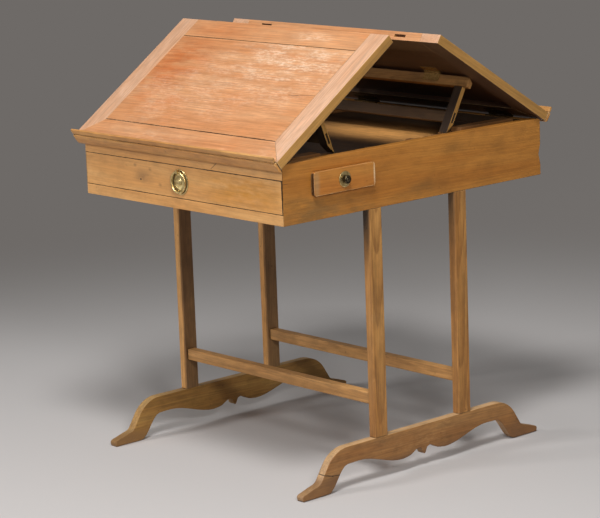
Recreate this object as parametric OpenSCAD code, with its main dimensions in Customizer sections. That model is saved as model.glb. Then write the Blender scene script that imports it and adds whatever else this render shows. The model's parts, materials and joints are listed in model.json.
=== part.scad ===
// Double-leaf reading table: a shallow box with a full-width drawer and a small
// side drawer, on thin board legs and scrolled sled feet. Two hinged leaves with
// book ledges are held up by prop frames. Millimetres, front towards -Y.

/* [Box] */

// Width of the box over its side boards
box_w = 685; // [600:5:800]
// Depth of the box over its front and back boards
box_d = 807; // [780:1:860]
// Height of the side boards' top edges above the floor
box_top = 750; // [700:5:800]
// Height of the side boards
box_h = 133; // [130:1:150]
// Thickness of the box boards, the legs and the feet
board_t = 22; // [20:1:26]
// Drop of the front and back rails' top edges below the side boards
rail_drop = 3.5; // [3.5:0.5:5]
// Height of the rail above the drawer, down from the side boards' tops
top_rail_h = 34; // [34:1:38]
// Height of the rail below the drawer
bottom_rail_h = 24; // [22:1:30]
// Thickness of the fixed board under the leaves
well_t = 9; // [8:1:10]

/* [Base] */

// Width of a leg along the table's depth
leg_w = 41; // [36:1:46]
// Distance of the legs' centres from the middle of the depth
leg_y = 133.5; // [120:1:150]
// Height of the feet where the legs stand
foot_h = 98; // [90:1:110]
// Half of the length of a foot
foot_half = 378; // [372:1:390]
// Depth of a stretcher
stretcher_w = 24; // [20:1:28]
// Height of a stretcher
stretcher_h = 27; // [24:1:32]
// Height of the stretchers' undersides above the floor
stretcher_z = 170; // [140:5:220]
// Thickness of the tenons on legs and stretchers
tenon_t = 8; // [6:1:10]
// Length of the tenons on legs and stretchers
tenon_l = 14; // [10:1:16]

/* [Leaves] */

// Width of a leaf
leaf_w = 703; // [687:1:710]
// Thickness of a leaf's frame
leaf_t = 21.5; // [20:0.5:24]
// Width of the boards in a leaf's frame
frame_w = 57.5; // [50:0.5:60]
// Distance that a leaf runs out beyond its hinge line
leaf_out = 16.5; // [15:0.5:18]
// Thickness of a leaf's panel, flush on top
panel_t = 12; // [11:0.5:13]
// Shrinkage gap along the panel's two long edges
panel_gap = 1.6; // [1:0.2:2.4]
// Thickness of the book ledge
ledge_t = 8; // [7:0.5:10]
// Height of the ledge's lip above the leaf
lip_h = 16; // [8:1:17]
// Depth of the front ledge below its leaf
front_drop = 7; // [2:1:13]
// Depth of the back ledge below its leaf
back_drop = 1; // [1:1:13]
// Gap between the two leaves when both lie flat
leaf_gap = 6; // [1:0.5:7]
// Distance that the ridge's tongues stand out
tongue_out = 10; // [8:0.5:12]
// Angle of the front leaf as shown
front_open = 34.7; // [33:0.1:36]
// Angle of the back leaf as shown
back_open = 31.9; // [29:0.1:36]
// Length of a tongue in the front leaf's ridge
tongue_l = 32; // [24:1:40]
// Distance of the tongues from the middle
tongue_x = 227; // [180:1:250]

/* [Hinges] */

// Distance of the leaf hinge lines inside the box faces
hinge_in = 5.5; // [5:0.5:6]
// Height of the leaf hinge lines above the side boards' tops
hinge_up = 1.5; // [1.5:0.5:2]
// Radius of a leaf hinge's barrel
barrel_r = 2.6; // [2.4:0.1:2.8]
// Radius of a hinge pin
pin_r = 1.3; // [1.2:0.1:1.4]
// Running clearance of a hinge pin
pin_fit = 0.08; // [0.06:0.01:0.1]
// Length of a leaf hinge
hinge_l = 76; // [60:1:90]
// Distance of the leaf hinges from the middle
hinge_x = 225; // [180:1:240]
// Thickness of a moving hinge plate
plate_t = 1.2; // [1:0.1:1.4]
// Length of a prop hinge
prop_hinge_l = 50; // [40:1:60]
// Distance of the prop hinges from the middle
prop_hinge_x = 170; // [120:1:190]

/* [Props] */

// Distance of a prop's hinge line from the leaf hinge line
prop_at = 206; // [204:1:208]
// Depth of a prop's hinge line below the panel
prop_drop = 2.2; // [2.1:0.1:2.4]
// Length of a prop from its hinge line to the feet
prop_l = 142.3; // [141:0.1:143]
// Height of the props' feet above the floor, below the box's top
foot_down = 10; // [9:0.5:11]
// Gap between the ends of a prop's top rail and the leaf's stiles
prop_end_gap = 5; // [3:1:20]
// Angle that a folded prop hangs below its leaf
fold_sag = 1.6; // [1.4:0.1:2]
// Depth of a prop's top rail
prop_rail_h = 24; // [20:1:26]
// Thickness of a prop's top rail
prop_rail_t = 15.5; // [14:0.5:16]
// Length of the horns that the rail has beyond the arms
horn_l = 14; // [10:1:24]
// Width of an arm
arm_w = 25; // [22:1:34]
// Thickness of an arm
arm_t = 12; // [11:0.5:13.5]
// Height of a prop's lower rail
low_rail_h = 25; // [22:1:30]
// Thickness of a prop's lower rail
low_rail_t = 10; // [8:1:11]
// Height of a prop's lower rail above the feet
low_rail_up = 27; // [26:1:34]
// Distance that the lower rail's tenons end inside the arms
tenon_short = 2; // [0.5:0.5:4]
// Gap between the racks and the path of the props' feet
rack_gap = 0.8; // [0.5:0.1:1]
// Spacing of the racks' teeth
tooth_pitch = 27; // [24:1:30]

/* [Drawers] */

// Length of the main drawer's box
drawer_l = 560; // [450:10:600]
// Gap around the drawer front
drawer_gap = 1.2; // [0.6:0.1:1.4]
// Gap at the ends of the drawer front
drawer_end_gap = 2; // [1.4:0.2:2.4]
// Thickness of the drawer sides and backs
side_t = 11; // [9:1:12]
// Distance of the guide board from the middle
guide_x = 176; // [160:2:178]
// Outer radius of the ring pull
ring_out = 26; // [24:1:27]
// Radius of the ring pull's wire
ring_wire = 2.4; // [2.2:0.1:2.6]
// Distance of the side drawer's centre from the middle of the depth
tray_y = -230; // [-240:1:-220]
// Height of the side drawer's centre below the box's top
tray_down = 53; // [52:0.5:54]
// Length of the side drawer's front
tray_w = 181; // [160:1:185]
// Height of the side drawer's front
tray_h = 52; // [48:1:53]
// Distance that the side drawer's front stands out
tray_proud = 9; // [7:1:10]
// Radius of the side drawer's knob
knob_r = 9.5; // [8.5:0.5:12]
// Distance that the knob stands out from the side drawer's front
knob_h = 13; // [11:0.5:16]

/* [Hidden] */

eps = 0.01;
small_fn = 16;
round_fn = 40;
box_z = box_top - box_h;
half_w = box_w / 2;
half_d = box_d / 2;
in_w = half_w - board_t;
in_d = half_d - board_t;
rail_z = box_top - rail_drop;
open_top = box_top - top_rail_h;
open_low = box_z + bottom_rail_h;
well_top = open_top + well_t;
hinge_y = half_d - hinge_in;
hinge_z = box_top + hinge_up;
leaf_len = hinge_y - leaf_gap / 2;
panel_low = frame_w - leaf_out;
panel_high = leaf_len - frame_w;
panel_half = leaf_w / 2 - frame_w;
prop_half = panel_half - prop_end_gap;
arm_x = prop_half - horn_l;
rack_w = arm_w + 6;
rack_base = well_top + 3.5;
rack_high = box_top - 3;
seam_at = [-118, 89];
seam_gap = 0.4;
runner_w = 24;
tongue_t = 5;
tongue_in = 7;
lip_edge = leaf_out + ledge_t;
plate_w = 20;
fixed_t = rail_drop + hinge_up - barrel_r + 0.3;
bore_r = pin_r + pin_fit;
knuckle_gap = 0.35;
prop_n = leaf_t - panel_t - prop_drop;
prop_face = -prop_drop;
prop_start = 3.5;
arm_face = prop_face - 2;
bevel = 32;
foot_z = box_top - foot_down;
tray_z = box_top - tray_down;
tray_open_w = tray_w - 15;
tray_open_low = tray_z - 21;
tray_open_high = open_top - 2;
tray_depth = 128;
tray_side_drop = 3;
tray_gap = 1.2;
floor_t = 8;
drawer_low = open_low + 5;
drawer_high = open_top - 10;
drawer_left = -in_w + 1.5;
drawer_right = guide_x - 1.5;
pull_z = (open_low + open_top) / 2;
ring_mid = ring_out - ring_wire;
ring_stand = 5.5;
ring_y = -half_d - ring_stand;
ring_play = 0.7;
plate_r = 29;
disc_r = 17;
boss_r = 7;
rosette_r = 17.5;
knob_out = half_w + tray_proud + knob_h;
mid_x = (knob_out - leaf_w / 2) / 2;
lip_top = leaf_t + lip_h;

// Outermost distance of a raised leaf's ledge from the middle of the depth
function ledge_reach(a) = hinge_y + (lip_edge - 2) * cos(a) + lip_top * sin(a);
mid_y = (ledge_reach(back_open) - ledge_reach(front_open)) / 2;

// Points on an arc
function arc(cx, cy, r, a, b, n) = [
  for (i = [0:n]) [cx + r * cos(a + (b - a) * i / n), cy + r * sin(a + (b - a) * i / n)]
];
// Smooth rise or fall from one point to the next
function swell(p, q, n) = [
  for (i = [0:n]) [p[0] + (q[0] - p[0]) * i / n, p[1] + (q[1] - p[1]) * (1 - cos(180 * i / n)) / 2]
];
function flipped(list) = [for (i = [len(list) - 1:-1:0]) [-list[i][0], list[i][1]]];

// Height of a prop's hinge line above the leaf hinge line, for a leaf at angle a
function prop_up(a) = prop_at * sin(a) + prop_n * cos(a);
// Angle of a prop below the level, with its feet at foot_z
function prop_angle(a) =
  asin((prop_up(a) + hinge_z - foot_z) / norm([prop_l, arm_face])) - atan(-arm_face / prop_l);
// Point that a prop's foot passes, for a leaf at angle a of its angle as shown
function foot_at(a, shown) =
  let(f = fold_sag + a * (prop_angle(shown) - fold_sag) / shown)
  [prop_at * cos(a) - prop_n * sin(a) + prop_l * cos(f) + arm_face * sin(f),
   hinge_z + prop_up(a) - prop_l * sin(f) + arm_face * cos(f)];

module in_frame() {
  translate([-mid_x, -mid_y, 0]) children();
}

// Frame on a leaf's hinge line: +Y towards the ridge, +Z out of the leaf's face
module on_leaf(back = false, turn = 1) {
  in_frame()
    rotate([0, 0, back ? 180 : 0])
      translate([0, -hinge_y, hinge_z])
        rotate([(back ? back_open : front_open) * turn, 0, 0])
          children();
}

// Frame on a prop's hinge line: +Y along the prop, +Z towards the leaf when folded
module on_prop(back = false) {
  shown = back ? back_open : front_open;
  on_leaf(back)
    translate([0, prop_at, prop_n])
      rotate([-shown - prop_angle(shown), 0, 0])
        children();
}

module block(x0, x1, y0, y1, z0, z1) {
  translate([x0, y0, z0]) cube([x1 - x0, y1 - y0, z1 - z0]);
}

// Extrusion along X of an outline given in Y and Z
module along_x(x0, x1) {
  translate([x0, 0, 0])
    rotate([90, 0, 90])
      linear_extrude(x1 - x0) children();
}

// Screw with its head's face at the origin, driven towards -Z
module screw(long = 10) {
  rotate_extrude($fn = small_fn)
    polygon([[0, 0], [2.9, 0], [1.3, -1.6], [1.3, -long + 2], [0, -long]]);
}

module leaf_screw_spots() {
  for (s = [-1, 1])
    for (d = [-1, 0, 1])
      translate([s * hinge_x + d * (hinge_l / 2 - 9), 13, 0]) children();
}

module prop_screw_spots() {
  for (s = [-1, 1])
    for (d = [-1, 1])
      translate([s * prop_hinge_x + d * (prop_hinge_l / 2 - 8), 11, 0]) children();
}

module box_screw_set() {
  for (back = [false, true])
    on_leaf(back, 0)
      translate([0, -4, rail_z - hinge_z + fixed_t])
        leaf_screw_spots()
          screw();
}

// Box boards

module side_plan() {
  polygon([[in_w, -in_d], [half_w, -half_d], [half_w, half_d], [in_w, half_d]]);
}

module side_board(open = false) {
  difference() {
    translate([0, 0, box_z]) linear_extrude(box_h) side_plan();
    for (s = [-1, 1])
      translate([half_w - board_t / 2, s * leg_y, box_z])
        leg_tenon_space();
    for (s = [-1, 1])
      along_x(in_w - 1, half_w + 1) end_slope(s);
    if (open)
      block(in_w - 1, half_w + 1, tray_y - tray_open_w / 2, tray_y + tray_open_w / 2,
            tray_open_low, tray_open_high);
  }
}

// Slope at a side board's end that the opened leaf dips into
module end_slope(s) {
  polygon([[s * (hinge_y - 1), box_top], [s * half_d, rail_z], [s * (half_d + 1), rail_z],
           [s * (half_d + 1), box_top + 1], [s * (hinge_y - 1), box_top + 1]]);
}

module leg_tenon_space() {
  block(-tenon_t / 2, tenon_t / 2, -leg_w / 2 + 7, leg_w / 2 - 7, -eps, tenon_l);
}

module side_right() {
  color("peru") in_frame() side_board(true);
}

module side_left() {
  color("peru") in_frame() mirror([1, 0, 0]) side_board();
}

module back_board() {
  color("peru")
    difference() {
      in_frame() block(-in_w, in_w, in_d, half_d, box_z, rail_z);
      box_screw_set();
    }
}

// Front rail with mitred ends
module front_rail(z0, z1, gap = 0) {
  translate([0, 0, z0])
    linear_extrude(z1 - z0)
      polygon([[-half_w + gap, -half_d], [half_w - gap, -half_d], [in_w - gap, -in_d], [-in_w + gap, -in_d]]);
}

module rail_top() {
  color("burlywood")
    difference() {
      in_frame() front_rail(open_top, rail_z);
      box_screw_set();
    }
}

module rail_bottom() {
  color("burlywood") in_frame() front_rail(box_z, open_low);
}

// Fixed boards under the leaves, side by side
module well_boards() {
  ends = concat([-in_d], seam_at, [in_d]);
  color("tan")
    in_frame()
      for (i = [0:len(ends) - 2])
        block(-in_w, in_w, ends[i] + (i > 0 ? seam_gap / 2 : 0),
              ends[i + 1] - (i < len(ends) - 2 ? seam_gap / 2 : 0), open_top, well_top);
}

// Highest level of a rack between two distances from the leaf hinge line
function under_path(u0, u1, shown) =
  min([for (i = [0:60])
    let(p = foot_at(shown * (1 - i / 60), shown))
      if (p[0] >= u0 - 3 && p[0] <= u1 + 3) p[1]])
  - rack_gap;

// Places for outlines in Y and Z, from the leaf hinge line inwards, at each rack
module at_racks(back) {
  in_frame()
    rotate([0, 0, back ? 180 : 0])
      for (s = [-1, 1])
        translate([s * (arm_x - arm_w / 2), -hinge_y, 0])
          along_x(-rack_w / 2, rack_w / 2) children();
}

module racks() {
  color("tan")
    for (back = [false, true])
      at_racks(back)
        translate([hinge_y - in_d, well_top])
          square([prop_at + prop_l + 8 - hinge_y + in_d, rack_base - well_top]);
}

// Teeth of a rack: the outer block, the one that carries the foot and the lower ones inwards
module teeth(back) {
  shown = back ? back_open : front_open;
  first = foot_at(shown, shown);
  at_racks(back) {
    polygon([[hinge_y - in_d, rack_base], [hinge_y - in_d, rack_high], [first[0] - 46, rack_high],
             [first[0] - 38, rack_base]]);
    polygon([[first[0] - 34, rack_base], [first[0] - 30, first[1] - rack_gap], [first[0], first[1] - rack_gap],
             [first[0], rack_base]]);
    for (i = [0:floor((prop_at + prop_l - first[0]) / tooth_pitch) - 1]) {
      u = first[0] + 7 + i * tooth_pitch;
      high = under_path(u, u + tooth_pitch - 8, shown);
      if (high > rack_base + 1)
        polygon([[u, rack_base], [u, high], [u + tooth_pitch - 12, high], [u + tooth_pitch - 6, rack_base]]);
    }
  }
}

module rack_teeth() {
  color("tan")
    for (back = [false, true])
      teeth(back);
}

module guide_board() {
  color("tan")
    in_frame() block(guide_x, guide_x + side_t, -in_d, in_d, box_z + 8, open_top);
}

module runners() {
  color("tan")
    in_frame() {
      block(-in_w, -in_w + runner_w, -in_d, in_d, box_z + 8, drawer_low - 1);
      block(guide_x - runner_w, guide_x, -in_d, in_d, box_z + 8, drawer_low - 1);
    }
}

module tray_floor() {
  color("tan")
    in_frame() {
      block(guide_x + side_t, in_w, tray_y - tray_open_w / 2 - 14, tray_y + tray_open_w / 2 + 14,
            tray_open_low - floor_t, tray_open_low);
      for (s = [-1, 1])
        translate([0, tray_y + s * (tray_open_w / 2 + 7), 0])
          block(guide_x + side_t, in_w, -7, 7, tray_open_low, tray_open_low + 14);
    }
}

// Base

module leg(s, t) {
  x = s * (half_w - board_t / 2);
  color("sienna")
    in_frame()
      difference() {
        translate([x, t * leg_y, 0]) {
          block(-board_t / 2, board_t / 2, -leg_w / 2, leg_w / 2, foot_h, box_z);
          translate([0, 0, box_z]) leg_tenon_space();
          translate([0, 0, foot_h]) mirror([0, 0, 1]) leg_tenon_space();
        }
        stretcher_plan(t);
      }
}

module leg_front_left() {
  leg(-1, -1);
}

module leg_front_right() {
  leg(1, -1);
}

module leg_rear_left() {
  leg(-1, 1);
}

module leg_rear_right() {
  leg(1, 1);
}

// Lower edge of a foot from the floor to the pendant in the middle
function foot_low() = concat(
  swell([foot_half - 78, 0], [foot_half - 138, foot_h - 42], 7),
  swell([foot_half - 173, foot_h - 41], [68, foot_h - 68], 8),
  swell([52, 32], [17, 45], 4),
  [[9, 42], [4, 31], [0, 27]]
);
// Upper edge of a foot from the toe to the flat where the legs stand
function foot_high() = concat(
  arc(foot_half - 9, 9, 9, 0, 80, 3),
  arc(foot_half - 42, 46, 20, -102, -148, 4),
  arc(foot_half - 140, foot_h - 75, 75, 33, 90, 7)
);

module foot_outline() {
  half = concat([[foot_half - 2, 0]], [for (p = foot_high()) p]);
  under = foot_low();
  polygon(concat(half, flipped(half), [for (p = under) [-p[0], p[1]]],
                 [for (i = [len(under) - 2:-1:0]) under[i]]));
}

module foot(s) {
  color("sienna")
    in_frame()
      difference() {
        along_x(s * (half_w - board_t / 2) - board_t / 2, s * (half_w - board_t / 2) + board_t / 2)
          foot_outline();
        for (t = [-1, 1])
          translate([s * (half_w - board_t / 2), t * leg_y, foot_h])
            mirror([0, 0, 1]) leg_tenon_space();
      }
}

module foot_left() {
  foot(-1);
}

module foot_right() {
  foot(1);
}

module stretcher_plan(t) {
  translate([0, t * leg_y, stretcher_z]) {
    block(-in_w, in_w, -stretcher_w / 2, stretcher_w / 2, 0, stretcher_h);
    block(-in_w - tenon_l, in_w + tenon_l, -tenon_t / 2, tenon_t / 2, 5, stretcher_h - 5);
  }
}

module stretcher_front() {
  color("sienna") in_frame() stretcher_plan(-1);
}

module stretcher_rear() {
  color("sienna") in_frame() stretcher_plan(1);
}

// Hinges

// Barrel pieces along X; the middle one turns on the pin
module knuckles(long, r, bore, parts) {
  third = long / 3;
  for (i = parts)
    translate([-long / 2 + i * third + (i == 1 ? knuckle_gap : 0), 0, 0])
      rotate([0, 90, 0])
        difference() {
          cylinder(r = r, h = third - (i == 1 ? 2 * knuckle_gap : 0), $fn = small_fn);
          if (bore > 0)
            translate([0, 0, -1]) cylinder(r = bore, h = third + 2, $fn = small_fn);
        }
}

module pin(long) {
  translate([-long / 2, 0, 0])
    rotate([0, 90, 0])
      cylinder(r = pin_r, h = long, $fn = small_fn);
}

// Plate with cuts beside the knuckles of the other half
module plate(long, y0, y1, z0, z1, parts, r) {
  third = long / 3;
  difference() {
    block(-long / 2, long / 2, y0, y1, z0, z1);
    for (i = [0:2])
      if (len(search(i, parts)) == 0)
        block(-long / 2 + i * third - knuckle_gap - (i == 0 ? 1 : 0),
              -long / 2 + (i + 1) * third + knuckle_gap + (i == 2 ? 1 : 0),
              y0 - 1, r + knuckle_gap, z0 - 1, z1 + 1);
  }
}

module hinges_fixed() {
  low = rail_z - hinge_z;
  color("darkgoldenrod")
    difference() {
      for (back = [false, true])
        on_leaf(back, 0)
          for (s = [-1, 1])
            translate([s * hinge_x, 0, 0]) {
              knuckles(hinge_l, barrel_r, 0, [0, 2]);
              pin(hinge_l);
              plate(hinge_l, 0, board_t - hinge_in - 1, low, low + fixed_t, [0, 2], barrel_r);
            }
      box_screw_set();
    }
}

module box_screws() {
  color("dimgray") box_screw_set();
}

module turning_hinges(back) {
  color("darkgoldenrod")
    difference() {
      on_leaf(back)
        for (s = [-1, 1])
          translate([s * hinge_x, 0, 0])
            difference() {
              union() {
                knuckles(hinge_l, barrel_r, 0, [1]);
                plate(hinge_l, 0, plate_w + 4, -plate_t, 0, [1], barrel_r);
              }
              rotate([0, 90, 0])
                translate([0, 0, -hinge_l / 2 - 1]) cylinder(r = bore_r, h = hinge_l + 2, $fn = small_fn);
            }
      leaf_screw_set(back);
    }
}

module leaf_screw_set(back) {
  on_leaf(back) {
    translate([0, 2, -plate_t]) leaf_screw_spots() mirror([0, 0, 1]) screw();
    translate([0, prop_at, prop_n + prop_drop - 1])
      prop_screw_spots() mirror([0, 0, 1]) screw();
  }
}

module front_hinges() {
  turning_hinges(false);
}

module back_hinges() {
  turning_hinges(true);
}

module front_screws() {
  color("dimgray") leaf_screw_set(false);
}

module back_screws() {
  color("dimgray") leaf_screw_set(true);
}

// Half of the prop hinges that is fixed to the panel, with its pin
module prop_hinges(back) {
  color("darkgoldenrod")
    difference() {
      on_leaf(back)
        for (s = [-1, 1])
          translate([s * prop_hinge_x, prop_at, prop_n]) {
            knuckles(prop_hinge_l, prop_drop - 0.1, 0, [0, 2]);
            pin(prop_hinge_l);
            plate(prop_hinge_l, -0.6, plate_w, prop_drop - 1, prop_drop, [0, 2], prop_drop);
          }
      leaf_screw_set(back);
    }
}

module front_prop_hinges() {
  prop_hinges(false);
}

module back_prop_hinges() {
  prop_hinges(true);
}

module prop_plates(back) {
  color("darkgoldenrod")
    on_prop(back)
      for (s = [-1, 1])
        translate([s * prop_hinge_x, 0, 0])
          difference() {
            union() {
              knuckles(prop_hinge_l, prop_drop - 0.1, 0, [1]);
              plate(prop_hinge_l, -0.6, plate_w, prop_face, prop_face + 1, [1], prop_drop);
            }
            rotate([0, 90, 0])
              translate([0, 0, -prop_hinge_l / 2 - 1])
                cylinder(r = bore_r, h = prop_hinge_l + 2, $fn = small_fn);
          }
}

module front_prop_plates() {
  prop_plates(false);
}

module back_prop_plates() {
  prop_plates(true);
}

// Leaves

module hinge_pockets(back) {
  on_leaf(back)
    for (s = [-1, 1])
      block(s * hinge_x - hinge_l / 2 - 1, s * hinge_x + hinge_l / 2 + 1,
            -barrel_r - 0.8, barrel_r + 0.8, -1, barrel_r + 0.8);
}

// Groove for the panel's tongue, as a slab over the whole leaf
module panel_groove() {
  block(-panel_half - tongue_in, panel_half + tongue_in, panel_low - tongue_in, panel_high + tongue_in,
        leaf_t - 10, leaf_t - 10 + tongue_t);
}

module panel(back) {
  color("navajowhite")
    difference() {
      on_leaf(back) {
        block(-panel_half, panel_half, panel_low + panel_gap, panel_high - panel_gap,
              leaf_t - panel_t, leaf_t);
        block(-panel_half - tongue_in, panel_half + tongue_in, panel_low - tongue_in + panel_gap,
              panel_high + tongue_in - panel_gap, leaf_t - 10, leaf_t - 10 + tongue_t);
      }
      leaf_screw_set(back);
    }
}

module stile(back, s) {
  outer = leaf_w / 2;
  color("wheat")
    difference() {
      on_leaf(back)
        difference() {
          linear_extrude(leaf_t)
            polygon([[s * outer, -leaf_out], [s * outer, leaf_len], [s * (outer - frame_w), leaf_len],
                     [s * (outer - frame_w), panel_low]]);
          panel_groove();
        }
      hinge_pockets(back);
    }
}

module outer_rail(back) {
  outer = leaf_w / 2;
  color("wheat")
    difference() {
      on_leaf(back)
        difference() {
          linear_extrude(leaf_t)
            polygon([[-outer, -leaf_out], [outer, -leaf_out], [panel_half, panel_low],
                     [-panel_half, panel_low]]);
          panel_groove();
        }
      hinge_pockets(back);
      leaf_screw_set(back);
    }
}

module ridge_rail(back) {
  color("wheat")
    on_leaf(back)
      difference() {
        union() {
          block(-panel_half, panel_half, panel_high, leaf_len, 0, leaf_t);
          if (!back)
            for (s = [-1, 1])
              block(s * tongue_x - tongue_l / 2, s * tongue_x + tongue_l / 2,
                    leaf_len, leaf_len + tongue_out, leaf_t / 2 - 1.8, leaf_t / 2 + 1.8);
        }
        panel_groove();
        if (back)
          for (s = [-1, 1])
            block(s * tongue_x - tongue_l / 2 - 1.5, s * tongue_x + tongue_l / 2 + 1.5,
                  leaf_len - tongue_out, leaf_len + 1, leaf_t / 2 - 3, leaf_t / 2 + 3);
      }
}

// Section of the ledge: lip, quirk and rounded lower edge
module ledge_outline(drop) {
  mirror([1, 0])
    polygon(concat(
      [[leaf_out, -drop]],
      arc(leaf_out + 2.5, lip_top - 2.5, 2.5, 180, 90, 3),
      arc(lip_edge - 4.5, lip_top - 2.5, 2.5, 90, 0, 3),
      [[lip_edge - 2, leaf_t + 4], [lip_edge - 3, leaf_t + 3], [lip_edge - 3, leaf_t + 1]],
      [[lip_edge, leaf_t + 1]],
      [for (a = [0:15:90]) [lip_edge - 6.5 * (1 - cos(a)), 6 - (6 + drop) * sin(a)]]
    ));
}

module ledge(back) {
  color("burlywood")
    on_leaf(back) along_x(-leaf_w / 2, leaf_w / 2) ledge_outline(back ? back_drop : front_drop);
}

module front_panel() {
  panel(false);
}

module front_stile_left() {
  stile(false, -1);
}

module front_stile_right() {
  stile(false, 1);
}

module front_ridge_rail() {
  ridge_rail(false);
}

module front_outer_rail() {
  outer_rail(false);
}

module front_ledge() {
  ledge(false);
}

module back_panel() {
  panel(true);
}

module back_stile_left() {
  stile(true, 1);
}

module back_stile_right() {
  stile(true, -1);
}

module back_ridge_rail() {
  ridge_rail(true);
}

module back_outer_rail() {
  outer_rail(true);
}

module back_ledge() {
  ledge(true);
}

// Props

module prop_rail(back) {
  color("chocolate")
    on_prop(back)
      difference() {
        along_x(-prop_half, prop_half)
          polygon([[prop_start, prop_face], [prop_start + prop_rail_h, prop_face],
                   [prop_start + prop_rail_h, prop_face - prop_rail_t],
                   [prop_start + prop_rail_t * tan(bevel), prop_face - prop_rail_t]]);
        arm_tenons();
      }
}

// Tenons of both arms in the top rail
module arm_tenons() {
  for (s = [-1, 1])
    block(s * (arm_x - arm_w / 2) - arm_w / 2 + 6, s * (arm_x - arm_w / 2) + arm_w / 2 - 6,
          prop_start + prop_rail_h - 9, prop_start + prop_rail_h + eps,
          arm_face - arm_t / 2 - 3, arm_face - arm_t / 2 + 3);
}

// Low rail with its tenons, which end short of the arms' outer edges
module low_rail_plan(short = 0) {
  low = prop_l - low_rail_up - low_rail_h;
  mid = arm_face - arm_t / 2;
  block(-arm_x + arm_w, arm_x - arm_w, low, low + low_rail_h, mid - low_rail_t / 2, mid + low_rail_t / 2);
  for (s = [-1, 1])
    block(s > 0 ? arm_x - arm_w : short - arm_x, s > 0 ? arm_x - short : arm_w - arm_x,
          low, low + low_rail_h, mid - 2.5, mid + 2.5);
}

module prop_arms(back) {
  first = prop_start + prop_rail_h;
  color("chocolate")
    on_prop(back) {
      difference() {
        for (s = [-1, 1])
          along_x(s * (arm_x - arm_w / 2) - arm_w / 2, s * (arm_x - arm_w / 2) + arm_w / 2)
            polygon([[first, arm_face], [prop_l, arm_face], [prop_l - 24, arm_face - arm_t],
                     [first, arm_face - arm_t]]);
        low_rail_plan();
      }
      arm_tenons();
    }
}

module prop_low_rail(back) {
  color("chocolate") on_prop(back) low_rail_plan(tenon_short);
}

module front_prop_rail() {
  prop_rail(false);
}

module front_prop_arms() {
  prop_arms(false);
}

module front_prop_low_rail() {
  prop_low_rail(false);
}

module back_prop_rail() {
  prop_rail(true);
}

module back_prop_arms() {
  prop_arms(true);
}

module back_prop_low_rail() {
  prop_low_rail(true);
}

// Main drawer

module drawer_front() {
  color("burlywood")
    in_frame()
      difference() {
        front_rail(open_low + drawer_gap, open_top - drawer_gap, drawer_end_gap);
        translate([0, -half_d - 1, pull_z + ring_mid])
          rotate([-90, 0, 0]) cylinder(r = 2, h = board_t + 2, $fn = small_fn);
      }
}

module drawer_side_left() {
  color("tan")
    in_frame()
      block(drawer_left, drawer_left + side_t, -in_d, -in_d + drawer_l, drawer_low, drawer_high);
}

module drawer_side_right() {
  color("tan")
    in_frame()
      block(drawer_right - side_t, drawer_right, -in_d, -in_d + drawer_l, drawer_low, drawer_high);
}

module drawer_back() {
  color("tan")
    in_frame()
      block(drawer_left + side_t, drawer_right - side_t, -in_d + drawer_l - side_t, -in_d + drawer_l,
            drawer_low + 10, drawer_high - 4);
}

module drawer_bottom() {
  color("tan")
    in_frame()
      block(drawer_left + side_t, drawer_right - side_t, -in_d, -in_d + drawer_l, drawer_low + 4,
            drawer_low + 10);
}

// Round backplate with a raised disc and a boss, and the post that carries the ring
module pull_plate() {
  color("gold")
    in_frame() {
      translate([0, -half_d, pull_z])
        rotate([90, 0, 0])
          rotate_extrude($fn = round_fn)
            polygon([[0, 0], [plate_r, 0], [plate_r, 0.8], [plate_r - 1.5, 1.8], [plate_r - 3, 1.1],
                     [disc_r + 2, 1], [disc_r + 0.5, 2], [disc_r - 1, 2.4], [disc_r - 3, 1.6],
                     [boss_r + 2, 1.2], [boss_r + 0.5, 2], [boss_r - 0.5, 3.2], [boss_r - 3, 4], [0, 3.6]]);
      translate([0, -half_d, pull_z + ring_mid]) {
        rotate([90, 0, 0]) cylinder(r = 4.5, h = 2.2, $fn = small_fn);
        difference() {
          rotate([90, 0, 0])
            cylinder(r = 4.2, h = ring_stand + ring_wire + ring_play + 1.4, $fn = small_fn);
          translate([0, -ring_stand, 0])
            rotate([0, 90, 0])
              translate([0, 0, -6]) cylinder(r = ring_wire + ring_play, h = 12, $fn = small_fn);
        }
        rotate([-90, 0, 0]) cylinder(r = 2, h = board_t + 3, $fn = small_fn);
      }
    }
}

module pull_ring() {
  color("gold")
    in_frame()
      translate([0, ring_y, pull_z])
        rotate([90, 0, 0])
          rotate_extrude($fn = round_fn)
            translate([ring_mid, 0]) circle(r = ring_wire, $fn = 14);
}

// Side drawer

module tray_front() {
  corner = 7;
  color("burlywood")
    in_frame()
      difference() {
        union() {
          difference() {
            block(half_w + 0.4, half_w + tray_proud, tray_y - tray_w / 2, tray_y + tray_w / 2,
                  tray_z - tray_h / 2, tray_z + tray_h / 2);
            for (s = [-1, 1])
              for (t = [-1, 1])
                translate([half_w, tray_y + s * (tray_w / 2 - corner), tray_z + t * (tray_h / 2 - corner)])
                  rotate([0, 90, 0])
                    difference() {
                      translate([-(t > 0 ? corner + 1 : 0), -(s > 0 ? 0 : corner + 1), 0])
                        cube([corner + 1, corner + 1, tray_proud + 1]);
                      cylinder(r = corner, h = tray_proud + 1, $fn = 24);
                    }
          }
          block(half_w - 9, half_w + 0.4, tray_y - tray_open_w / 2 + tray_gap,
                tray_y + tray_open_w / 2 - tray_gap, tray_open_low + tray_gap, tray_open_high - tray_gap);
        }
        translate([half_w - 10, tray_y, tray_z])
          rotate([0, 90, 0]) cylinder(r = 2.5, h = 30, $fn = small_fn);
      }
}

module tray_sides() {
  color("tan")
    in_frame()
      for (s = [-1, 1])
        translate([0, tray_y + s * (tray_open_w / 2 - tray_gap - 4), 0])
          block(half_w - 9 - tray_depth, half_w - 9, -4, 4, tray_open_low + tray_gap,
                tray_open_high - tray_gap - tray_side_drop);
}

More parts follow.
